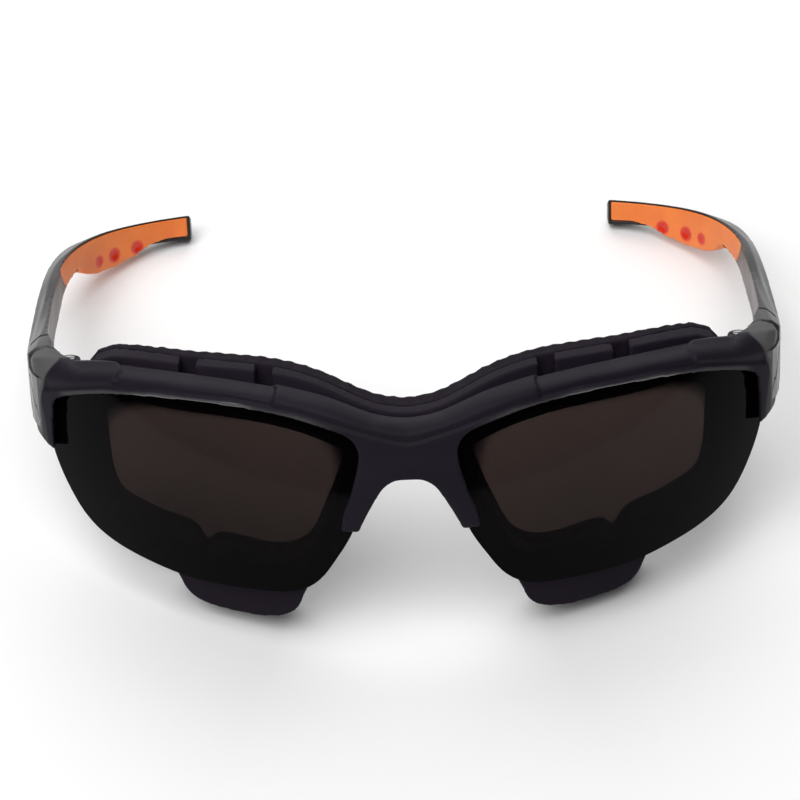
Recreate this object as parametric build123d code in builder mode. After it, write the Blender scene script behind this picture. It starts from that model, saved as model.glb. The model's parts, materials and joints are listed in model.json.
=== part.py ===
from build123d import *
import os

os.makedirs("parts", exist_ok=True)

# Welding goggles, in millimetres. They are drawn as worn: X to the side, Y from the front
# to the ear tips, Z up, with the front of the nose bridge at Y 0 and the arms' top edge at
# Z 0. The last section leans them back to where they rest on a table.
# Outlines are drawn for the side at +X, which is the right side seen from the front.

# ---- driving dimensions ----
EYE_CENTRE = (0, 96, -20)  # all the curved layers of the front share this centre
FRAME_FRONT = 98.0  # radii of the layers about that centre, from the front to the back
LENS_FRONT = 96.0
LENS_BACK = 93.8
FRAME_BACK = 92.0
CARRIER_FRONT = 93.7
FLANGE_BACK = 91.8
CARRIER_BACK = 87.6
FACE_CENTRE = (0, 109.5, -20)  # the face side of the foam follows the wearer's face
FACE_RADIUS = 95.0
FIT = 0.25  # air between pieces that are clipped together

BUTT_Y = 42.0  # where the front ends and the arms begin
JOINT_GAP = 0.3
PIN_X, PIN_Y = 69.8, 45.5  # hinge axis, vertical as worn
PIN_R = 0.8
BUSH_R = 1.45
KNUCKLE_R = 2.6
NECK_Y = 36.0  # where the hinge ears leave the end piece
UPPER_EAR = (-6.7, -4.0)  # bottom and top of each hinge layer
TONGUE = (-12.1, -7.3)
LOWER_EAR = (-15.2, -12.4)
WASHER = (-7.2, -6.8)

PAD_LIP = 0.5  # the arm's shell covers the pad's upper edge
PAD_START_Y = 97.0
VENT_W = 3.3
VENTS_X = (27.6, 42.9)

FACE_PLANE = Plane.XZ.offset(20)  # outlines of the front are drawn here and run back in Y
LEAN = 20.1  # degrees, from as worn to resting on the table

THROUGH = 90
BACK = (0, 1, 0)


# ---- outlines of the front, X against Z ----
BROW_TOP = [(0, -4.7), (7, -3.6), (15, -0.6), (25, 1.5), (36, 2.4), (48, 2.4), (58, 1.7), (67, -0.4)]
LENS_EDGE = [  # visible edge, from the nose over the top to the lower outer corner
    (9.5, -11.5), (11.3, -7.4), (15, -5.8), (21, -4.0), (34, -2.2), (49, -2.3), (60, -3.7), (70, -7.0),
]


def frame_outline():
    """The right half of the brow, bridge and nose leg, with the drop beside the lens."""
    with BuildSketch(FACE_PLANE) as outline:
        with BuildLine():
            Spline(*BROW_TOP, (74.0, -3.4))
            Polyline((74.0, -3.4), (75.6, -10), (75.2, -17.2), (72.0, -18.4), (71.4, -12), (70, -7.0))
            Spline(*reversed(LENS_EDGE))
            Polyline((9.5, -11.5), (10.1, -14.5), (11.4, -19), (13.0, -23), (13.6, -26.4), (10.1, -26.6))
            Spline((10.1, -26.6), (6.6, -19.8), (4.4, -16.9), (2.4, -15.9), (0, -15.8),
                   tangents=((-0.4, 1), (-1, 0)))
            Line((0, -15.8), (0, -4.7))
        make_face()
    return outline.sketch


def lens_outline():
    """One lens, with the tongue that the frame's groove hides along the top and the nose."""
    with BuildSketch(FACE_PLANE) as outline:
        with BuildLine():
            Spline(
                (8.7, -12), (9.6, -7.4), (13, -4.8), (21, -2.7), (34, -0.9), (49, -1.0), (61, -2.6),
                (70, -6.0), (73.0, -11), (72.6, -19), (69.4, -27), (65.2, -33), (60, -36.4),
                (53, -38.8), (46, -40.5), (38, -41.3), (29, -41.5), (21.5, -40.4), (18.2, -38),
                (14.9, -33.4), (11.7, -28), (9.4, -20), periodic=True,
            )
        make_face()
    return outline.sketch


def gasket_outline():
    """The right half of the gasket, with the cheek lobe that shows below the lens."""
    with BuildSketch(FACE_PLANE) as outline:
        with BuildLine():
            Spline((0, -4.6), (8, -3.1), (16, 0.4), (26, 2.7), (36, 2.9), (46, 2.6), (54, 2.1), (59, 1.3))
            Polyline((59, 1.3), (62.6, -0.5), (65, -3.5), (66.5, -10), (66.3, -18), (64.4, -26),
                     (61, -32.4), (54, -36.6), (48.3, -39.6), (46.7, -43.8))
            Spline((46.7, -43.8), (44.2, -47.2), (38, -48.9), (31, -49.4), (25.4, -48.4), (22, -43.8))
            Polyline((22, -43.8), (19.6, -38.6), (16, -33.6), (13, -27.6), (10.9, -21), (9, -16),
                     (5, -13.2), (0, -12.6))
            Line((0, -12.6), (0, -4.6))
        make_face()
    return outline.sketch


def eye_outline():
    """The opening that one eye looks through, with the scalloped lower edge."""
    with BuildSketch(FACE_PLANE) as outline:
        with BuildLine():
            Spline((12.6, -11.2), (20, -8.2), (34, -6.0), (48, -5.8), (57, -6.6), (60.8, -10),
                   (61.4, -17), (60.8, -25), (58.8, -29.4), (55, -30.9), (51.2, -32.1),
                   (44.4, -33.6), (42.6, -35.4), (41.5, -37.2), (39.6, -35.6), (37.6, -35.1),
                   (31.4, -36.0), (24.4, -35.9), (20.6, -33.6), (17.6, -28.2), (14.6, -21),
                   (12.4, -14.4), periodic=True)
        make_face()
    return outline.sketch


def keep_between(outer, inner):
    """Trims the open part to the layer between two radii about the eye centre."""
    with Locations(EYE_CENTRE):
        Sphere(outer, mode=Mode.INTERSECT)
        Sphere(inner, mode=Mode.SUBTRACT)


def across(x, y, bottom, top, radius, mode=Mode.ADD):
    """An upright cylinder between two heights, as worn."""
    with Locations((x, y, (bottom + top) / 2)):
        Cylinder(radius, top - bottom, mode=mode)


# ---- lenses ----
with BuildPart() as lens_right:
    extrude(lens_outline(), amount=THROUGH, dir=BACK)
    keep_between(LENS_FRONT, LENS_BACK)

# ---- front frame: brow, bridge, nose legs and the end pieces with the hinge ears ----
END_PLAN = [
    (69, 28), (73.8, 31.6), (75.8, 36), (77.2, BUTT_Y), (70.8, BUTT_Y), (70.4, 37), (67.5, 33),
]
END_SECTION = [
    (67.2, -0.6), (70, -0.2), (73, 0.0), (76, -1.0), (77.6, -3.2), (77.6, -14.6), (76.4, -17.0),
    (72.0, -18.4), (69.0, -17.6), (67.2, -15),
]
LENS_CORNER = [
    (60, -3.7), (66, -5.5), (69.1, -6.6), (70.9, -7.5), (71.5, -8.7), (71.7, -10.4), (72.0, -18.4),
    (71.9, -22), (60, -22),
]
OUTER_FACET = [  # in plan, what is cut off the front's outer corner
    (73.2, 30.8), (75.2, 34.8), (76.3, 37.8), (77.4, BUTT_Y), (80, BUTT_Y), (80, 25), (73.2, 25),
]
PLATE_PLAN = [(74.0, 33.6), (75.1, 34.5), (76.45, 37.5), (77.55, 41.5), (76.4, 41.6), (75.2, 38.0)]
PLATE_BOTTOM, PLATE_TOP = -15.2, -4.4

with BuildPart() as end_plate_right:
    with BuildSketch(Plane.XY.offset(PLATE_BOTTOM)):
        with BuildLine():
            Polyline(*PLATE_PLAN, close=True)
        make_face()
    extrude(amount=PLATE_TOP - PLATE_BOTTOM)

with BuildPart() as end_piece:
    with BuildSketch():
        with BuildLine():
            Polyline(*END_PLAN, close=True)
        make_face()
    extrude(amount=20, both=True)
    with BuildSketch(Plane.XZ):
        with BuildLine():
            Polyline(*END_SECTION, close=True)
        make_face()
    extrude(amount=THROUGH, dir=BACK, mode=Mode.INTERSECT)
    with Locations(EYE_CENTRE):
        Sphere(FRAME_FRONT, mode=Mode.INTERSECT)

with BuildPart() as lens_corner:  # the lens shows as far as the inner edge of the drop
    with BuildSketch(FACE_PLANE) as corner_outline:
        with BuildLine():
            Polyline(*LENS_CORNER, close=True)
        make_face()
    extrude(corner_outline.sketch, amount=THROUGH, dir=BACK)
    keep_between(FRAME_FRONT + 2, LENS_BACK - 0.05)

with BuildPart() as front_frame:
    extrude(frame_outline(), amount=THROUGH, dir=BACK)
    keep_between(FRAME_FRONT, FRAME_BACK)
    add(end_piece.part)
    split(bisect_by=Plane.XZ.offset(-BUTT_Y))
    for bottom, top in (UPPER_EAR, LOWER_EAR):
        across(PIN_X, PIN_Y, bottom, top, KNUCKLE_R)
        with Locations((PIN_X, (PIN_Y + NECK_Y) / 2, (bottom + top) / 2)):
            Box(2 * KNUCKLE_R, PIN_Y - NECK_Y, top - bottom)
    across(PIN_X, PIN_Y, UPPER_EAR[0], UPPER_EAR[1], PIN_R + 0.05, Mode.SUBTRACT)
    across(PIN_X, PIN_Y, UPPER_EAR[1] - 1.0, UPPER_EAR[1], BUSH_R + 0.05, Mode.SUBTRACT)
    across(PIN_X, PIN_Y, LOWER_EAR[0], LOWER_EAR[1], BUSH_R, Mode.SUBTRACT)
    with BuildSketch() as facet:
        with BuildLine():
            Polyline(*OUTER_FACET, close=True)
        make_face()
    extrude(facet.sketch, amount=20, both=True, mode=Mode.SUBTRACT)
    add(lens_right.part, mode=Mode.SUBTRACT)
    add(end_plate_right.part, mode=Mode.SUBTRACT)
    add(lens_corner.part, mode=Mode.SUBTRACT)
    mirror(about=Plane.YZ)

with end_plate_right:  # three slanted slots, seen from the side
    with BuildSketch(Plane.YZ.offset(80)) as slots:
        with Locations((35.2, -12.4), (37.5, -9.8), (39.6, -7.2)):
            SlotOverall(4.0, 0.9, rotation=55)
    extrude(slots.sketch, amount=-10, dir=(1, 0, 0), mode=Mode.SUBTRACT)

# ---- gasket: a rigid carrier behind the lenses, and the foam that meets the face ----
FRAME_ROOM = [  # a little outside the frame's outline
    (0, 6), (80, 6), (80, -20), (70.4, -20), (70.4, -7.9), (60, -4.5), (49, -3.1), (34, -3.0),
    (21, -4.8), (15, -6.7), (12, -8.1), (10.6, -11.5), (11.0, -14.3), (12.3, -19), (13.9, -23),
    (14.4, -27.2), (9.6, -27.2), (6, -20.5), (3, -17.3), (0, -16.6),
]
with BuildPart() as frame_room:  # the frame's space, which the carrier is cut back from
    with BuildSketch(FACE_PLANE) as room_outline:
        with BuildLine():
            Polyline(*FRAME_ROOM, close=True)
        make_face()
    extrude(room_outline.sketch, amount=THROUGH, dir=BACK)
    keep_between(FRAME_FRONT, FRAME_BACK - FIT)

with BuildPart() as vents:  # slots through the top wall of the carrier
    for x in VENTS_X:
        with Locations((x, 25, 2)):
            Box(VENT_W, 50, 7)

OUTER_FLANGE = [
    (66.9, -19.2), (72.7, -19.6), (69.8, -28.2), (65.6, -34.1), (60.3, -37.6), (53.2, -40.0),
    (46.1, -41.6), (42, -38.8), (53, -34), (61, -20),
]
NOSE_FLANGE = [
    (9.7, -20.5), (11.8, -28.8), (14.9, -34.2), (18.2, -38.7), (21.6, -40.9), (25, -41.5),
    (25, -38), (18, -32), (14, -20),
]
with BuildPart() as flange:  # a thin lip behind the lens's edge, just past it
    with BuildSketch(FACE_PLANE) as flange_outline:
        for points in (OUTER_FLANGE, NOSE_FLANGE):
            with BuildLine():
                Polyline(*points, close=True)
            make_face()
    extrude(flange_outline.sketch, amount=THROUGH, dir=BACK)
    keep_between(CARRIER_FRONT, FLANGE_BACK)

with BuildPart() as gasket_carrier:
    extrude(gasket_outline(), amount=THROUGH, dir=BACK)
    keep_between(CARRIER_FRONT, CARRIER_BACK)
    add(flange.part)
    extrude(eye_outline(), amount=THROUGH, dir=BACK, mode=Mode.SUBTRACT)
    add(frame_room.part, mode=Mode.SUBTRACT)
    add(vents.part, mode=Mode.SUBTRACT)
    mirror(about=Plane.YZ)

with BuildPart() as foam_gasket:
    extrude(gasket_outline(), amount=THROUGH, dir=BACK)
    extrude(eye_outline(), amount=THROUGH, dir=BACK, mode=Mode.SUBTRACT)
    with Locations(EYE_CENTRE):
        Sphere(CARRIER_BACK, mode=Mode.INTERSECT)
    with Locations(FACE_CENTRE):
        Sphere(FACE_RADIUS, mode=Mode.SUBTRACT)
    mirror(about=Plane.YZ)

# ---- hinge hardware ----
with BuildPart() as hinge_screw_right:
    across(PIN_X, PIN_Y, LOWER_EAR[0], UPPER_EAR[1], PIN_R)
    across(PIN_X, PIN_Y, UPPER_EAR[1] - 0.9, UPPER_EAR[1], BUSH_R)
    with Locations((PIN_X, PIN_Y, UPPER_EAR[1])):
        Box(2 * BUSH_R, 0.5, 0.8, mode=Mode.SUBTRACT)

with BuildPart() as hinge_nut_right:
    across(PIN_X, PIN_Y, LOWER_EAR[0], LOWER_EAR[1], BUSH_R)
    across(PIN_X, PIN_Y, LOWER_EAR[0], LOWER_EAR[1], PIN_R, Mode.SUBTRACT)

with BuildPart() as hinge_washer_right:
    across(PIN_X, PIN_Y, WASHER[0], WASHER[1], 2.2)
    across(PIN_X, PIN_Y, WASHER[0], WASHER[1], PIN_R, Mode.SUBTRACT)

with BuildPart() as hinge_bush_right:
    across(PIN_X, PIN_Y, TONGUE[0], TONGUE[1], BUSH_R)
    across(PIN_X, PIN_Y, TONGUE[0], TONGUE[1], PIN_R + 0.05, Mode.SUBTRACT)

# ---- the right arm: root, shell and soft ear pad ----
OUTER_EDGE = [
    (80.0, 64), (80.5, 83), (80.7, 100), (80.3, 112), (78.8, 120), (75.6, 127), (70.5, 133),
    (64, 138), (57.5, 141.6), (50.5, 144),
]
INNER_EDGE = [
    (50.4, 138.8), (57.0, 136.8), (62.6, 133.3), (68.6, 127.6), (72.6, 121.2), (75.5, 112.5), (76.8, 102),
    (76.6, 90), (76.0, 72), (75.2, 60), (74.3, 51.5),
]
PAD_EDGE = [  # between the shell and the pad, from the tip forward
    (51.1, 142.1), (56.8, 139.9), (62.8, 136.3), (69.0, 131.4), (73.8, 125.6), (77.0, 119), (78.4, 111.5),
    (78.7, PAD_START_Y),
]
DIMPLES = [(62.2, 132.1, -5.8, 1.6), (67.2, 127.6, -6.2, 1.6), (70.3, 123.4, -6.3, 1.3)]
BUTT_SECTION = [
    (PIN_X + 0.4, -3.4), (71.5, -1.4), (73.6, -0.2), (76, -0.6), (78, -2.2), (79.2, -5), (79.2, -13.5),
    (77.6, -15.6), (PIN_X + 0.4, -15.6),
]
SIDE_TOP = [(BUTT_Y, 0), (150, 0)]
SIDE_BOTTOM = [
    (150, -6.2), (139, -6.2), (130, -5.6), (117, -5.4), (110, -6.0), (102, -6.8), (90, -7.5), (72, -8.8),
    (62, -11.2), (52, -14.6), (BUTT_Y, -15.6),
]
PAD_SIDE = [  # the pad in side view, with its step, its bulge and its notch
    (PAD_START_Y, -PAD_LIP), (150, -PAD_LIP), (150, -5.3), (137.5, -5.2), (135.3, -6.0), (132.7, -7.9),
    (128.7, -9.1), (123.5, -9.2), (119.5, -8.0), (116.8, -5.8), (114.8, -5.3), (110, -5.9), (104.5, -6.5),
]


def arch():
    """The curved joint line between the root and the arm's shell, in plan."""
    with BuildSketch() as plan:
        with BuildLine():
            ThreePointArc((69.0, BUTT_Y), (74.8, 50.4), (80.4, BUTT_Y))
            Line((80.4, BUTT_Y), (69.0, BUTT_Y))
        make_face()
    return plan.sketch


def arm_plan():
    """The whole arm in plan, from the butt to the tip."""
    with BuildSketch() as plan:
        with BuildLine():
            Spline((77.6, BUTT_Y + JOINT_GAP), (79.2, 52), *OUTER_EDGE)
            Line(OUTER_EDGE[-1], INNER_EDGE[0])
            Spline(*INNER_EDGE, (PIN_X + 0.5, BUTT_Y + JOINT_GAP))
            Line((PIN_X + 0.5, BUTT_Y + JOINT_GAP), (77.6, BUTT_Y + JOINT_GAP))
        make_face()
    return plan.sketch


def side_view(points):
    """A closed outline in side view, to be run across the whole arm."""
    with BuildSketch(Plane.YZ.offset(40)) as side:
        with BuildLine():
            Polyline(*points, close=True)
        make_face()
    return side.sketch


with BuildPart() as arm_body:
    extrude(arm_plan(), amount=20, both=True)
    extrude(side_view(SIDE_TOP + SIDE_BOTTOM), amount=50, dir=(1, 0, 0), mode=Mode.INTERSECT)

with BuildPart() as hinge_room:  # what the ears sweep past as the arm folds
    for bottom, top in (UPPER_EAR, LOWER_EAR):
        across(PIN_X, PIN_Y, bottom - JOINT_GAP, top + JOINT_GAP, KNUCKLE_R + JOINT_GAP)
        with Locations((PIN_X, PIN_Y - 2.5, (bottom + top) / 2)):
            Box(2 * KNUCKLE_R + 0.7, 5, top - bottom + 2 * JOINT_GAP)

with BuildPart() as temple_root_right:
    extrude(arch(), amount=20, both=True)
    add(arm_body.part, mode=Mode.INTERSECT)
    with BuildSketch(Plane.XZ) as arch_section:
        with BuildLine():
            Polyline(*BUTT_SECTION, close=True)
        make_face()
    extrude(arch_section.sketch, amount=THROUGH, dir=BACK, mode=Mode.INTERSECT)
    add(hinge_room.part, mode=Mode.SUBTRACT)
    across(PIN_X, PIN_Y, TONGUE[0], TONGUE[1], KNUCKLE_R)
    with Locations((PIN_X + 2.5, PIN_Y + 0.6, (TONGUE[0] + TONGUE[1]) / 2)):
        Box(5, 4, TONGUE[1] - TONGUE[0])
    across(PIN_X, PIN_Y, TONGUE[1], 1, KNUCKLE_R + JOINT_GAP, Mode.SUBTRACT)
    across(PIN_X, PIN_Y, TONGUE[0], TONGUE[1], BUSH_R, Mode.SUBTRACT)

with BuildPart() as temple_pad_right:
    extrude(arm_plan(), amount=20, both=True)
    with BuildSketch() as pad_side_of_arm:
        with BuildLine():
            Spline(*PAD_EDGE)
            Polyline(PAD_EDGE[-1], (PAD_EDGE[0][0], PAD_START_Y), PAD_EDGE[0])
        make_face()
    extrude(pad_side_of_arm.sketch, amount=20, both=True, mode=Mode.INTERSECT)
    extrude(side_view(PAD_SIDE), amount=50, dir=(1, 0, 0), mode=Mode.INTERSECT)

with BuildPart() as temple_arm_right:
    add(arm_body.part)
    extrude(arch(), amount=20, both=True, mode=Mode.SUBTRACT)
    add(temple_pad_right.part, mode=Mode.SUBTRACT)

with temple_pad_right:
    for x, y, z, radius in DIMPLES:
        with Locations((x, y, z)):
            Sphere(radius, mode=Mode.SUBTRACT)

PIECES = {
    "front_frame": front_frame,
    "gasket_carrier": gasket_carrier,
    "foam_gasket": foam_gasket,
}
RIGHT_PIECES = {
    "lens": lens_right,
    "end_plate": end_plate_right,
    "hinge_screw": hinge_screw_right,
    "hinge_nut": hinge_nut_right,
    "hinge_washer": hinge_washer_right,
    "hinge_bush": hinge_bush_right,
    "temple_root": temple_root_right,
    "temple_arm": temple_arm_right,
    "temple_pad": temple_pad_right,
}
for name, right in RIGHT_PIECES.items():
    with BuildPart() as left:
        add(mirror(right.part, about=Plane.YZ))
    PIECES[name + "_right"] = right
    PIECES[name + "_left"] = left

# ---- at rest: leaned back until the cheek lobes and the arm tips stand on the table ----
leaned = Compound(children=[Rot(X=-LEAN) * piece.part for piece in PIECES.values()])
box = leaned.bounding_box()
AT_REST = Pos(0, -box.center().Y, -box.min.Z) * Rot(X=-LEAN)
print("moved by", AT_REST.position, "hinge at", (AT_REST * Pos(PIN_X, PIN_Y, -10)).position)

for name, piece in PIECES.items():
    piece.part = AT_REST * piece.part
    piece.part.label = name
    export_step(piece.part, f"parts/{name}.step")
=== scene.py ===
import json
import math

import bpy
import numpy as np
from mathutils import Matrix, Vector


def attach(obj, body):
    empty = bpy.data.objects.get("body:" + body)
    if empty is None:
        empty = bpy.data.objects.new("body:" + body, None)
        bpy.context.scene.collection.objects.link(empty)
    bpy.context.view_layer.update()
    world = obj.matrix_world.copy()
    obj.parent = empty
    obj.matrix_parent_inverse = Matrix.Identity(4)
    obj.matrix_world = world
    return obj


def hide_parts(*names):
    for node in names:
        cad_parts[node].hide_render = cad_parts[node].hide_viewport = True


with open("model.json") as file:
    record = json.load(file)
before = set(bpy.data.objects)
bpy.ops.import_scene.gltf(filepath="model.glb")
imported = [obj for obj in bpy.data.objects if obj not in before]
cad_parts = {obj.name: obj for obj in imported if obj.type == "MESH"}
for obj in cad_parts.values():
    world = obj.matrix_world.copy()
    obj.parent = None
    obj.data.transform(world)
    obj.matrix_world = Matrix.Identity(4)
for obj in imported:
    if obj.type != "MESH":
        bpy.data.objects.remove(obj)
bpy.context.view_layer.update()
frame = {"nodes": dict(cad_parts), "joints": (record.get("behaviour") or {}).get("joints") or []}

# ---- the goggles as worn ----
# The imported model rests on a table, leaned back. Shapes here are made as worn, in metres: X to
# the side, Y to the ear tips, Z up, and then leaned. The right hinge's axis says how far.
HINGE_AS_WORN = Vector((0.0698, 0.0455, -0.010))
right_hinge = next(j for j in frame["joints"] if j["name"] == "right_hinge")
up = Vector(right_hinge["axis"]).normalized()
side = Vector((1, 0, 0))
LEAN = Matrix((side, up.cross(side), up)).transposed()
REST = Matrix.Translation(Vector(right_hinge["pos_m"]) - LEAN @ HINGE_AS_WORN) @ LEAN.to_4x4()
WORN = REST.inverted()


# The clear part of each lens, seen square on: its middle and half its size, across and up, and
# the power that makes it a rounded rectangle. 2 would be an ellipse. Outside it the lens is painted black
# as painted shade.
EYE_MIDDLE = (0.0372, -0.0199)
EYE_HALF = (0.0249, 0.0156)
SQUARENESS = 4.0


# ---- node materials ----
def set_range(node, start, end, low, high):
    for key, number in (("From Min", start), ("From Max", end), ("To Min", low), ("To Max", high)):
        node.inputs[key].default_value = number


class Nodes:
    """A material under construction, with short ways to add nodes and links."""

    def __init__(self, name):
        self.material = bpy.data.materials.new(name)
        self.material.use_nodes = True
        self.tree = self.material.node_tree
        self.tree.nodes.clear()
        self.output = self.add("ShaderNodeOutputMaterial")

    def add(self, kind, **inputs):
        node = self.tree.nodes.new(kind)
        for key, value in inputs.items():
            node.inputs[key.replace("_", " ")].default_value = value
        return node

    def link(self, source, target):
        self.tree.links.new(source, target)

    def noise(self, scale, detail=3.0, rough=0.5, stretch=(1, 1, 1)):
        """The strength of a noise that is fixed to the piece, at bumps per metre."""
        place = self.add("ShaderNodeTexCoord")
        scaled = self.add("ShaderNodeMapping")
        scaled.inputs["Scale"].default_value = stretch
        self.link(place.outputs["Object"], scaled.inputs["Vector"])
        texture = self.add("ShaderNodeTexNoise", Scale=scale, Detail=detail, Roughness=rough)
        self.link(scaled.outputs["Vector"], texture.inputs["Vector"])
        return texture.outputs["Fac"]

    def calculate(self, operation, value, other):
        """One step of arithmetic between links or fixed numbers."""
        node = self.add("ShaderNodeMath")
        node.operation = operation
        for socket, given in zip(node.inputs, (value, other)):
            if isinstance(given, float):
                socket.default_value = given
            else:
                self.link(given, socket)
        return node.outputs["Value"]

    def off_middle(self):
        """How far out a place on a lens is: 0 in the middle of the eye opening, 1 at its rim."""
        place = self.add("ShaderNodeTexCoord")
        worn = self.add("ShaderNodeMapping")
        worn.inputs["Rotation"].default_value = WORN.to_euler()
        worn.inputs["Location"].default_value = WORN.translation
        self.link(place.outputs["Object"], worn.inputs["Vector"])
        parts = self.add("ShaderNodeSeparateXYZ")
        self.link(worn.outputs["Vector"], parts.inputs["Vector"])
        wide = self.calculate("ABSOLUTE", parts.outputs["X"], 0.0)
        powers = []
        for across, middle, half in zip((wide, parts.outputs["Z"]), EYE_MIDDLE, EYE_HALF):
            share = self.calculate("DIVIDE", self.calculate("SUBTRACT", across, middle), half)
            size = self.calculate("ABSOLUTE", share, 0.0)
            powers.append(self.calculate("POWER", size, SQUARENESS))
        return self.calculate("POWER", self.calculate("ADD", *powers), 1 / SQUARENESS)

    def mark(self, name):
        """How strongly a shape function marked this place, from 0 to 1."""
        node = self.add("ShaderNodeAttribute")
        node.attribute_name = name
        return node.outputs["Fac"]

    def map_range(self, value, start, end, low, high):
        node = self.add("ShaderNodeMapRange")
        set_range(node, start, end, low, high)
        self.link(value, node.inputs["Value"])
        return node.outputs["Result"]

    def spread(self, fac, low, high):
        """Spreads a noise strength over a range of values."""
        return self.map_range(fac, 0.3, 0.7, low, high)

    def blend(self, fac, colour, other):
        """Runs from a linked colour to a fixed one with a strength."""
        node = self.add("ShaderNodeMix")
        node.data_type = "RGBA"
        strength, first, second = (node.inputs[index] for index in (0, 6, 7))  # the colour sockets
        second.default_value = (*other, 1)
        self.link(fac, strength)
        self.link(colour, first)
        return node.outputs[2]

    def tint(self, fac, dark, light):
        """Runs from one colour to another with a strength."""
        ramp = self.add("ShaderNodeValToRGB")
        ramp.color_ramp.elements[0].position = 0.3
        ramp.color_ramp.elements[1].position = 0.7
        ramp.color_ramp.elements[0].color = (*dark, 1)
        ramp.color_ramp.elements[1].color = (*light, 1)
        self.link(fac, ramp.inputs["Fac"])
        return ramp.outputs["Color"]

    def bump(self, height, strength, distance):
        node = self.add("ShaderNodeBump", Strength=strength, Distance=distance)
        self.link(height, node.inputs["Height"])
        return node.outputs["Normal"]


def scaled(colour, k):
    return tuple(c * k for c in colour)


POLISHED_GLOSS = 0.9


def moulded_plastic(name, colour, rough, gloss=0.3, vary=0.12, polished=None, painted_light=None):
    """Injection-moulded plastic: fine spark-eroded grain and faint flow marks. Its roughness
    becomes polished where the shape marks it so, and its colour runs to a lighter grey where the shape
    marks painted light."""
    m = Nodes(name)
    shader = m.add("ShaderNodeBsdfPrincipled")
    shader.inputs["Specular IOR Level"].default_value = gloss
    flow = m.noise(60.0, detail=4, stretch=(1, 1, 2.5))
    fine = m.noise(2600.0, detail=2)
    tint = m.tint(flow, scaled(colour, 1 - vary), scaled(colour, 1 + vary))
    # Painted light: the colour is blended to a lighter grey where the shape marks lit faces and a
    # highlight.
    if painted_light is not None:
        tint = m.blend(m.mark("painted_light"), tint, painted_light)
    m.link(tint, shader.inputs["Base Color"])
    if polished is None:
        m.link(m.spread(flow, rough - 0.05, rough + 0.05), shader.inputs["Roughness"])
    else:
        polish = m.mark("polish")
        m.link(m.map_range(polish, 0, 1, rough, polished), shader.inputs["Roughness"])
        m.link(m.map_range(polish, 0, 1, gloss, POLISHED_GLOSS), shader.inputs["Specular IOR Level"])
    m.link(m.bump(fine, 0.35, 0.00002), shader.inputs["Normal"])
    m.link(shader.outputs["BSDF"], m.output.inputs["Surface"])
    return m.material


DIMPLE_ROUGHNESS = 0.16


def soft_rubber(name, colour, deep, mark, rough):
    """Soft-touch rubber in two close colours. Its dimples are glossier and are painted dark red with the
    colour mark, as painted shade in the hollows.
    """
    m = Nodes(name)
    shader = m.add("ShaderNodeBsdfPrincipled")
    shader.inputs["IOR"].default_value = 1.45
    shader.inputs["Subsurface Weight"].default_value = 0.08
    shader.inputs["Subsurface Radius"].default_value = (0.002, 0.0008, 0.0004)
    patches = m.noise(130.0, detail=5)
    skin = m.noise(3000.0, detail=2)
    pressed = m.mark("dimple")
    # Painted shade: the dimples are coloured dark red, for the shade and red inter-reflection in the
    # hollows.
    m.link(m.blend(pressed, m.tint(patches, deep, colour), mark), shader.inputs["Base Color"])
    m.link(m.map_range(pressed, 0, 1, rough, DIMPLE_ROUGHNESS), shader.inputs["Roughness"])
    m.link(m.bump(skin, 0.4, 0.00003), shader.inputs["Normal"])
    m.link(shader.outputs["BSDF"], m.output.inputs["Surface"])
    return m.material


def foam_material():
    """Fine-celled foam: small pores in a dull skin."""
    m = Nodes("closed_cell_foam")
    shader = m.add("ShaderNodeBsdfPrincipled", Roughness=0.8)
    shader.inputs["Specular IOR Level"].default_value = 0.06
    place = m.add("ShaderNodeTexCoord")
    cells = m.add("ShaderNodeTexVoronoi", Scale=1500.0)
    m.link(place.outputs["Object"], cells.inputs["Vector"])
    patches = m.noise(300.0, detail=5)
    m.link(m.tint(patches, (0.008, 0.0055, 0.0098), (0.0135, 0.0095, 0.016)), shader.inputs["Base Color"])
    m.link(m.bump(cells.outputs["Distance"], 0.5, 0.00012), shader.inputs["Normal"])
    m.link(shader.outputs["BSDF"], m.output.inputs["Surface"])
    return m.material


LENS_CLEARNESS = 0.52
PAINTED_SHADE_STARTS, PAINTED_SHADE_BLACK = 0.9, 1.04  # where the painted shade at the lens rim starts and where it is black, as shares of the way out from the eye's middle


def lens_material():
    """Polished, nearly opaque infrared filter: a little brown light comes through its middle. Towards its
    rim the light through it is painted black, as painted shade for the dark gasket and shade behind the
    lens.
    """
    m = Nodes("tinted_polycarbonate")
    gloss = m.add("ShaderNodeBsdfPrincipled", Roughness=0.06)
    gloss.inputs["Specular IOR Level"].default_value = 0.09
    smears = m.noise(45.0, detail=4)
    black = m.tint(smears, (0.0022, 0.0016, 0.002), (0.003, 0.0022, 0.0026))
    m.link(black, gloss.inputs["Base Color"])
    m.link(m.spread(smears, 0.05, 0.09), gloss.inputs["Roughness"])
    clear = m.add("ShaderNodeBsdfTransparent")
    brown = m.tint(smears, (0.35, 0.295, 0.28), (0.37, 0.305, 0.29))
    # Painted shade: the see-through colour runs to black at the lens rim.
    rim = m.map_range(m.off_middle(), PAINTED_SHADE_STARTS, PAINTED_SHADE_BLACK, 0, 1)
    m.link(m.blend(rim, brown, (0, 0, 0)), clear.inputs["Color"])
    mix = m.add("ShaderNodeMixShader", Fac=LENS_CLEARNESS)
    m.link(gloss.outputs["BSDF"], mix.inputs[1])
    m.link(clear.outputs["BSDF"], mix.inputs[2])
    m.link(mix.outputs["Shader"], m.output.inputs["Surface"])
    return m.material


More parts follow.
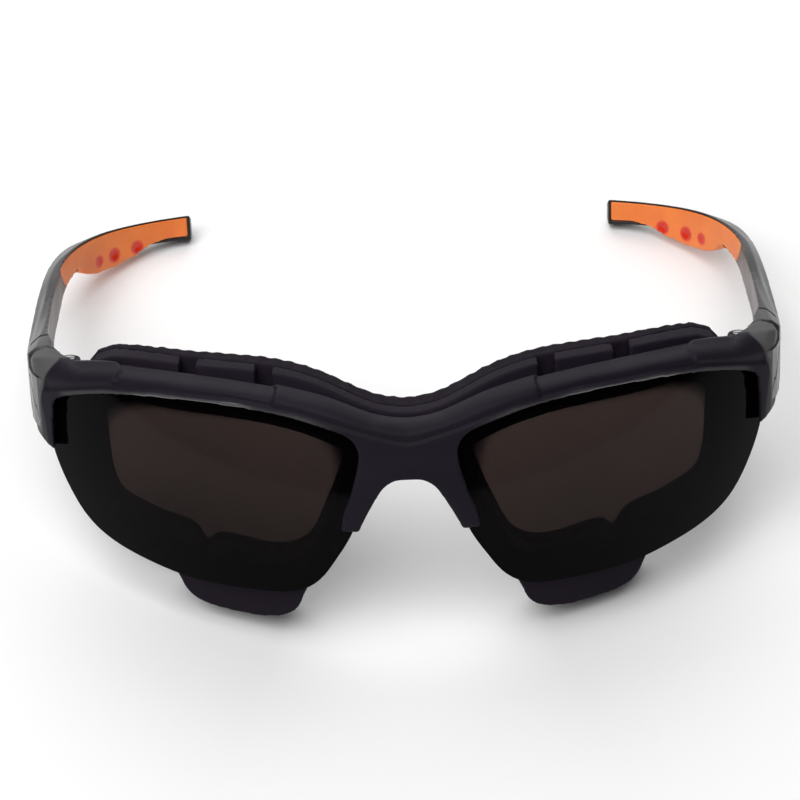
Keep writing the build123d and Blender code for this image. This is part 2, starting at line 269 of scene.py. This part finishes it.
def turned_metal(name, colour, rough):
    """Small turned parts, with faint tool marks round them."""
    m = Nodes(name)
    shader = m.add("ShaderNodeBsdfPrincipled", Metallic=1.0)
    marks = m.noise(900.0, detail=3, stretch=(1, 1, 6))
    m.link(m.tint(marks, scaled(colour, 0.75), colour), shader.inputs["Base Color"])
    m.link(m.spread(marks, rough - 0.07, rough + 0.1), shader.inputs["Roughness"])
    m.link(m.bump(marks, 0.3, 0.00002), shader.inputs["Normal"])
    m.link(shader.outputs["BSDF"], m.output.inputs["Surface"])
    return m.material


# The frame's second colour, a light grey, is painted light on the lit outer faces of the end blocks, and
# a painted highlight on the bead.
FRAME_PLASTIC = moulded_plastic("frame_plastic", (0.0125, 0.0095, 0.0155), 0.5, gloss=0.07, polished=0.18,
                                painted_light=(0.085, 0.083, 0.083))
ROOT_PLASTIC = moulded_plastic("root_plastic", (0.028, 0.026, 0.029), 0.34, gloss=0.35)
CARRIER_RUBBER = moulded_plastic("carrier_rubber", (0.012, 0.0085, 0.0145), 0.7, gloss=0.07)
ARM_PLASTIC = moulded_plastic("arm_plastic", (0.024, 0.023, 0.024), 0.3, gloss=0.2)
PLATE_PLASTIC = moulded_plastic("plate_plastic", (0.06, 0.058, 0.06), 0.3, gloss=0.5)
FOAM = foam_material()
LENS = lens_material()
# The pad's third colour, a dark red, is painted shade in its dimples.
PAD_RUBBER = soft_rubber(
    "pad_rubber", (0.95, 0.25, 0.05), (0.84, 0.2, 0.04), (0.7, 0.03, 0.01), 0.45)
STEEL = turned_metal("screw_steel", (0.62, 0.62, 0.63), 0.28)
BRASS = turned_metal("turned_brass", (0.75, 0.52, 0.2), 0.3)
ACETAL = moulded_plastic("white_acetal", (0.6, 0.6, 0.57), 0.4, vary=0.05)


# ---- pieces made from the CAD solids ----
def as_worn(node):
    """The node's vertices as worn, in metres, and its triangles."""
    mesh = frame["nodes"][node].data
    points = np.empty(len(mesh.vertices) * 3)
    mesh.vertices.foreach_get("co", points)
    points = points.reshape(-1, 3)
    turn = np.array(WORN)
    return points @ turn[:3, :3].T + turn[:3, 3], [tuple(p.vertices) for p in mesh.polygons]


def new_piece(name, points, faces):
    mesh = bpy.data.meshes.new(name)
    mesh.from_pydata([tuple(p) for p in points], [], faces)
    mesh.validate()
    piece = bpy.data.objects.new(name, mesh)
    bpy.context.scene.collection.objects.link(piece)
    return piece


def bake(piece):
    """Applies the piece's modifiers to its mesh."""
    graph = bpy.context.evaluated_depsgraph_get()
    graph.update()
    mesh = bpy.data.meshes.new_from_object(piece.evaluated_get(graph))
    piece.modifiers.clear()
    piece.data = mesh


def smoothed(piece, rounds):
    smooth = piece.modifiers.new("smooth", "SMOOTH")
    smooth.factor = 0.5
    smooth.iterations = rounds
    bake(piece)


def remoulded(node, voxel, rounds, shape=None):
    """The CAD solid with its edges rounded as a mould leaves them: remeshed, smoothed, shaped."""
    points, faces = as_worn(node)
    piece = new_piece(node + "_skin", points, faces)
    weld = piece.modifiers.new("weld", "WELD")
    weld.merge_threshold = 0.00001
    remesh = piece.modifiers.new("remesh", "REMESH")
    remesh.mode = "VOXEL"
    remesh.voxel_size = voxel
    bake(piece)
    smoothed(piece, rounds)
    if shape:
        mesh = piece.data
        at = np.empty(len(mesh.vertices) * 3)
        mesh.vertices.foreach_get("co", at)
        moved, marks = shape(at.reshape(-1, 3) * 1000)
        mesh.vertices.foreach_set("co", moved.ravel() / 1000)
        smoothed(piece, 1)
        for name, values in marks.items():
            layer = piece.data.attributes.new(name, "FLOAT", "POINT")
            layer.data.foreach_set("value", values.astype(np.float32))
    return piece


def fit_out(piece, material, body, node):
    """Leans the piece to its place, gives it its finish, hangs it on its body and hides the node it
    stands for.
    """
    piece.data.transform(REST)
    piece.data.shade_smooth()
    piece.data.materials.clear()
    piece.data.materials.append(material)
    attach(piece, body)
    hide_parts(node)


# ---- moulded shapes, in millimetres as worn ----
EYE_CENTRE = np.array((0.0, 96.0, -20.0))
FRAME_BACK = 92.0
FRAME_DEPTH = 6.0
BROW_X = (0, 7, 15, 25, 36, 48, 58, 64, 67, 70, 73, 76)
BROW_Z = (-4.7, -3.6, -0.6, 1.5, 2.4, 2.4, 1.7, 0.5, -0.3, -0.2, 0.0, -1.0)
LEDGE_X = (0, 2.5, 9.5, 15, 21, 34, 49, 60, 66, 70, 74)
LEDGE_Z = (-8.5, -8.1, -6.2, -4.5, -2.7, -0.95, -1.0, -2.3, -3.9, -5.2, -6.5)
BROW_END = (72.6, 74.6)  # where the shaping fades out, in the end block
RECESS_START, RECESS_END = (25.2, 26.4), (57.4, 58.3)  # the steps of the brow's sunk middle
VALLEY_DEPTH, ROLL_DEPTH, RECESS_DEPTH = 0.8, 3.4, 0.65
RECESS_DROP = 0.45  # how far the brow's top edge is lower there
LENS_FRONT = 96.2
BEAD_BOTTOM, BEAD_TOP = (-1.6, -1.1), (-0.7, -0.2)  # from the ledge
STREAK_START, STREAK_END = (29, 32), (52, 55)
# Where the bead's painted highlight begins and ends, across.
BEAD_HIGHLIGHT_START, BEAD_HIGHLIGHT_END = (12, 20), (68, 71)
# Where the painted light on the end block's lit outer face begins, across, at each height.
LIT_FACE_Z = (-17, -10, -5, 0)
LIT_FACE_X = (74.8, 74.9, 73.6, 72.0)
FOAM_X = (0, 8, 16, 26, 36, 46, 54, 59)
FOAM_TOP = (-4.6, -3.1, 0.4, 2.7, 2.9, 2.6, 2.1, 1.3)
FOAM_REAR = 86.5
SCALLOP, SCALLOP_PITCH = 0.09, 2.9


def ease(value, start, end):
    """Rises smoothly from 0 to 1 as the value runs from start to end."""
    k = np.clip((value - start) / (end - start), 0, 1)
    return k * k * (3 - 2 * k)


def between(value, first, last):
    """1 between two steps, each given by where it starts and ends, and 0 outside them."""
    return ease(value, *first) * (1 - ease(value, *last))


def shape_frame(p):
    """Rolls the brow's top back, sinks its middle and leaves a bead along the lens. Marks the polished
    streak and the painted light: the lit end-block faces and the bead's painted highlight.
    """
    wide = np.abs(p[:, 0])
    arm = p - EYE_CENTRE
    radius = np.linalg.norm(arm, axis=1)
    top = np.interp(wide, BROW_X, BROW_Z)
    ledge = np.interp(wide, LEDGE_X, LEDGE_Z)
    above = p[:, 2] - ledge
    up_band = np.clip(above / (top - ledge), 0, 1.1)
    brow = 1 - ease(wide, *BROW_END)
    recess = between(wide, RECESS_START, RECESS_END)
    valley = VALLEY_DEPTH * np.clip(1 - up_band / 0.35, 0, 1) ** 1.5 * ease(above, -0.5, 0.5)
    rolled = ROLL_DEPTH * np.clip((up_band - 0.25) / 0.85, 0, 1) ** 2.0
    sunk = RECESS_DEPTH * recess * ease(above, -0.1, 0.7)
    depth = brow * (valley + rolled + sunk)
    pressed = FRAME_BACK + (radius - FRAME_BACK) * (1 - depth / FRAME_DEPTH)
    new_radius = np.where(radius > FRAME_BACK, pressed, radius)
    moved = EYE_CENTRE + arm * (new_radius / radius)[:, None]
    # The top is lower at the back, which leaves a groove in front of the gasket.
    groove = np.clip((FRAME_BACK + 1.5 - new_radius) / 1.5, 0, 1)
    near_top = np.clip((p[:, 2] - top + 3) / 3, 0, 1)
    moved[:, 2] -= brow * near_top * (groove + RECESS_DROP * recess)
    bead = between(above, BEAD_BOTTOM, BEAD_TOP) * (radius > LENS_FRONT)
    streak = bead * between(wide, STREAK_START, STREAK_END)
    # Painted light: the outer face of the end block and its return along the arm, lit from the side, are
    # painted as light as the plate, and the bead half as light as a painted highlight.
    outer_face = ease(wide - np.interp(p[:, 2], LIT_FACE_Z, LIT_FACE_X), -0.3, 0.3)
    end_return = ease(p[:, 1], 33, 35) * ease(wide, 69, 70)
    painted_light = outer_face + end_return + 0.5 * bead * between(wide, BEAD_HIGHLIGHT_START, BEAD_HIGHLIGHT_END)
    return moved, {"polish": streak, "painted_light": np.minimum(painted_light, 1)}


def shape_foam(p):
    """A finely scalloped rear edge along the top."""
    top = np.interp(np.abs(p[:, 0]), FOAM_X, FOAM_TOP)
    radius = np.linalg.norm(p - EYE_CENTRE, axis=1)
    edge = ease(p[:, 2], top - 1.5, top) * ease(FOAM_REAR - radius, 0, 1.5)
    moved = p.copy()
    moved[:, 2] += edge * (SCALLOP * np.sin(p[:, 0] * 2 * math.pi / SCALLOP_PITCH) - 0.05)
    return moved, {}


def corners_cut(line, times):
    """The polyline with each corner cut several times, so that it shows no facets."""
    for _ in range(times):
        nearer, farther = line[:-1], line[1:]
        cut = np.stack((0.75 * nearer + 0.25 * farther, 0.25 * nearer + 0.75 * farther), axis=1)
        line = np.vstack((line[:1], cut.reshape(-1, 2), line[-1:]))
    return line


# The arm's outer side in plan.
OUTER_EDGE = corners_cut(np.array((
    (77.6, 42), (79.2, 52), (80.0, 64), (80.5, 83), (80.7, 100), (80.3, 112), (78.8, 120), (75.6, 127),
    (70.5, 133), (64, 138), (57.5, 141.6), (50.5, 144))), 4)
ARM_BOTTOM_Y = (42, 52, 62, 72, 90, 102, 110, 117, 130, 139, 150)
ARM_BOTTOM_Z = (-15.6, -14.6, -11.2, -8.8, -7.5, -6.8, -6.0, -5.4, -5.6, -6.2, -6.2)
BUTT_X = (70.2, 71.5, 73.6, 76, 78, 79.2, 80.5)
BUTT_DROP = (3.4, 1.4, 0.2, 0.6, 2.2, 4.6, 5.5)
ARCH_CENTRE = (74.7, 44.27)
ARCH_RADIUS = 6.13
JOINT_DEPTH, JOINT_HALF_WIDTH = 0.5, 0.55
EAR_START, EAR_END = 98, 122
ROOT_START, ROOT_END = 50, 92


def distance_to_line(p, line):
    """How far each point is from a polyline, in plan."""
    nearest = np.full(len(p), 1e9)
    for a, b in zip(line[:-1], line[1:]):
        along = b - a
        t = np.clip(((p - a) @ along) / (along @ along), 0, 1)
        nearest = np.minimum(nearest, np.linalg.norm(p - a - t[:, None] * along, axis=1))
    return nearest


def joint_groove(wide, y, z, top):
    """How far the top sinks at the curved line between the root and the arm."""
    off = np.abs(np.hypot(wide - ARCH_CENTRE[0], y - ARCH_CENTRE[1]) - ARCH_RADIUS)
    return JOINT_DEPTH * np.clip(1 - off / JOINT_HALF_WIDTH, 0, 1) * ease(z, top - 1.5, top - 0.3)


def shape_arm(p):
    """Slopes the outer side of the arm's top, steeper to the ear, and domes the arm at its root."""
    wide, y, z = np.abs(p[:, 0]), p[:, 1], p[:, 2]
    from_outer = distance_to_line(np.column_stack((wide, y)), OUTER_EDGE)
    ear = ease(y, EAR_START, EAR_END)
    chamfer = (0.8 - 0.36 * ear) * np.clip(2.1 + 2.5 * ear - from_outer, 0, None)
    root = 1 - ease(y, ROOT_START, ROOT_END)
    drop = (1 - root) * chamfer + root * np.interp(wide, BUTT_X, BUTT_DROP)
    bottom = np.interp(y, ARM_BOTTOM_Y, ARM_BOTTOM_Z)
    moved = p.copy()
    moved[:, 2] = bottom + (z - bottom) * (1 + drop / bottom)
    moved[:, 2] -= joint_groove(wide, y, moved[:, 2], -drop)
    return moved, {}


def shape_root(p):
    """The root's end of the same joint line."""
    wide, y = np.abs(p[:, 0]), p[:, 1]
    moved = p.copy()
    moved[:, 2] -= joint_groove(wide, y, p[:, 2], -np.interp(wide, BUTT_X, BUTT_DROP))
    return moved, {}


DIMPLES = np.array(((62.2, 132.1, -5.8), (67.2, 127.6, -6.2), (70.3, 123.4, -6.3)))
DIMPLE_RADII = (1.6, 1.6, 1.3)


def shape_pad(p):
    """Follows the arm, and marks the three dimples, which are glossier and painted dark red as painted
    shade.
    """
    moved, _ = shape_arm(p)
    dimple = np.zeros(len(p))
    mirrored = np.column_stack((np.abs(p[:, 0]), p[:, 1:]))
    for centre, radius in zip(DIMPLES, DIMPLE_RADII):
        away = np.linalg.norm(mirrored - centre, axis=1)
        dimple = np.maximum(dimple, 1 - ease(away, radius + 0.1, radius + 0.9))
    return moved, {"dimple": dimple}


# ---- the pieces ----
VOXEL = 0.00035
ARM_VOXEL = VOXEL * 0.8
ROUNDS, ARM_ROUNDS = 8, 6  # of smoothing

front = remoulded("front_frame", VOXEL, ROUNDS, shape_frame)
fit_out(front, FRAME_PLASTIC, "front", "front_frame")
carrier = remoulded("gasket_carrier", VOXEL, ROUNDS)
fit_out(carrier, CARRIER_RUBBER, "front", "gasket_carrier")
foam = remoulded("foam_gasket", VOXEL, ROUNDS, shape_foam)
fit_out(foam, FOAM, "front", "foam_gasket")
for hand in ("right", "left"):
    for node, shape, material, slot in (
        ("temple_root_", shape_root, ROOT_PLASTIC, "frame_plastic"),
        ("temple_arm_", shape_arm, ARM_PLASTIC, "arm_plastic"),
        ("temple_pad_", shape_pad, PAD_RUBBER, "pad_rubber"),
    ):
        piece = remoulded(node + hand, ARM_VOXEL, ARM_ROUNDS, shape)
        fit_out(piece, material, "arm_" + hand, node + hand)

for node, material in (
    ("lens_", LENS), ("end_plate_", PLATE_PLASTIC), ("hinge_screw_", STEEL), ("hinge_nut_", BRASS),
    ("hinge_washer_", ACETAL), ("hinge_bush_", BRASS),
):
    for hand in ("right", "left"):
        mesh = frame["nodes"][node + hand].data
        for index in range(len(mesh.materials)):
            mesh.materials[index] = material


# ---- studio ----
def soft_box(name, where, target, size, power):
    data = bpy.data.lights.new(name, "AREA")
    data.shape = "SQUARE"
    data.size = size
    data.energy = power
    lamp = bpy.data.objects.new(name, data)
    lamp.location = where
    lamp.rotation_mode = "QUATERNION"
    lamp.rotation_quaternion = (Vector(target) - Vector(where)).to_track_quat("-Z", "Y")
    bpy.context.scene.collection.objects.link(lamp)


def floor():
    mesh = bpy.data.meshes.new("floor")
    x, front, back = 3.0, -2.0, 5.0
    mesh.from_pydata([(-x, front, 0), (x, front, 0), (x, back, 0), (-x, back, 0)], [], [(0, 1, 2, 3)])
    plane = bpy.data.objects.new("floor", mesh)
    bpy.context.scene.collection.objects.link(plane)
    m = Nodes("pale_floor")
    shader = m.add("ShaderNodeBsdfPrincipled", Roughness=0.9)
    shader.inputs["Base Color"].default_value = (0.9, 0.9, 0.9, 1)
    shader.inputs["Specular IOR Level"].default_value = 0.1
    m.link(shader.outputs["BSDF"], m.output.inputs["Surface"])
    mesh.materials.append(m.material)


def sky(front, back):
    """A white surround that is dimmer in front of the goggles than behind them."""
    world = bpy.data.worlds.new("studio")
    bpy.context.scene.world = world
    world.use_nodes = True
    tree = world.node_tree
    place = tree.nodes.new("ShaderNodeTexCoord")
    parts = tree.nodes.new("ShaderNodeSeparateXYZ")
    ramp = tree.nodes.new("ShaderNodeMapRange")
    set_range(ramp, -0.6, 0.5, front, back)
    tree.links.new(place.outputs["Generated"], parts.inputs["Vector"])
    tree.links.new(parts.outputs["Y"], ramp.inputs["Value"])
    tree.links.new(ramp.outputs["Result"], tree.nodes["Background"].inputs["Strength"])


CAMERA_DISTANCE = 0.5
CAMERA_ABOVE = math.radians(19.5)  # as worn
CAMERA_ROLL = math.radians(2.15)
LENS_MM = 117.9
FRAMING_SHIFT = -0.0075


def camera():
    data = bpy.data.cameras.new("camera")
    data.lens = LENS_MM
    data.sensor_width = 36
    data.shift_x = FRAMING_SHIFT
    data.clip_start = 0.05
    cam = bpy.data.objects.new("camera", data)
    bpy.context.scene.collection.objects.link(cam)
    tilt = Matrix.Rotation(math.pi / 2 - CAMERA_ABOVE, 4, "X") @ Matrix.Rotation(-CAMERA_ROLL, 4, "Z")
    forward, height = math.cos(CAMERA_ABOVE), math.sin(CAMERA_ABOVE)
    back_off = Matrix.Translation((0, -CAMERA_DISTANCE * forward, CAMERA_DISTANCE * height))
    cam.matrix_world = REST @ back_off @ tilt
    bpy.context.scene.camera = cam


floor()
sky(0.45, 1.35)
soft_box("key", (-0.4, -0.6, 1.3), (0, 0, 0), 1.5, 25)
soft_box("back", (0.0, 1.3, 1.1), (0, 0, 0), 1.8, 22)
camera()
scene = bpy.context.scene
scene.view_settings.view_transform = "Standard"
